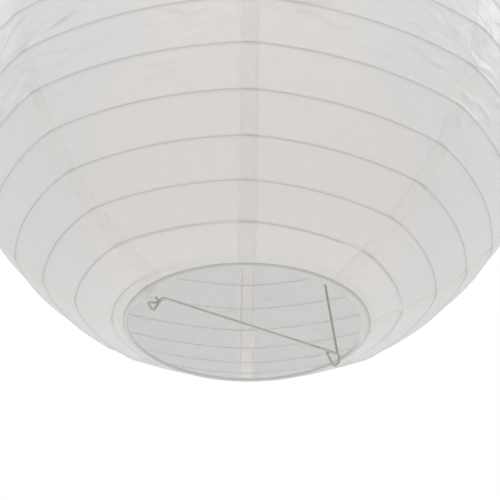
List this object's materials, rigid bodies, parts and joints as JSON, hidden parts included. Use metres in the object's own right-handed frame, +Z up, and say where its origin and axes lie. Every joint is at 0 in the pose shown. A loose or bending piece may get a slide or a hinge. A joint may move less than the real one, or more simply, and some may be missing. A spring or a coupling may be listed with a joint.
{
  "type": "accordion paper lantern",
  "caption": "Round white paper lantern: ribbed paper gores over a spiral wire, with end rings, folded hems and a bent-wire expander that hangs it.",
  "frame": {"origin": "the point inside the top of the hanging loop where the lantern's weight rests on its hook", "axes": "+Z up along the lantern's axis; the expander lies in the XZ plane, and its upright rises from the +X side to near the axis"},
  "size_m": [0.4, 0.4, 0.3962],
  "materials": {
    "paper": "matte",
    "hem_paper": "matte",
    "steel_wire": "satin",
    "ring_wire": "satin",
    "spiral_wire": "satin"
  },
  "bodies": {
    "expander": {"expander_wire": "steel_wire"},
    "shade": {"top_ring": "ring_wire", "top_hem": "hem_paper", "spiral_wire": "spiral_wire", "gore_1": "paper", "gore_2": "paper", "gore_3": "paper", "gore_4": "paper", "gore_5": "paper", "gore_6": "paper", "gore_7": "paper", "gore_8": "paper"},
    "shade_bottom": {"bottom_ring": "ring_wire", "bottom_hem": "hem_paper"}
  },
  "joints": [
    {"name": "shade_lift", "type": "slide", "parent": "expander", "child": "shade", "axis": [0, 0, 1], "range_m": [0, 0.014]},
    {"name": "shade_collapse", "type": "slide", "parent": "shade", "child": "shade_bottom", "axis": [0, 0, 1], "range_m": [0, 0.322], "deforming": ["spiral_wire", "gore_1", "gore_2", "gore_3", "gore_4", "gore_5", "gore_6", "gore_7", "gore_8"]}
  ]
}
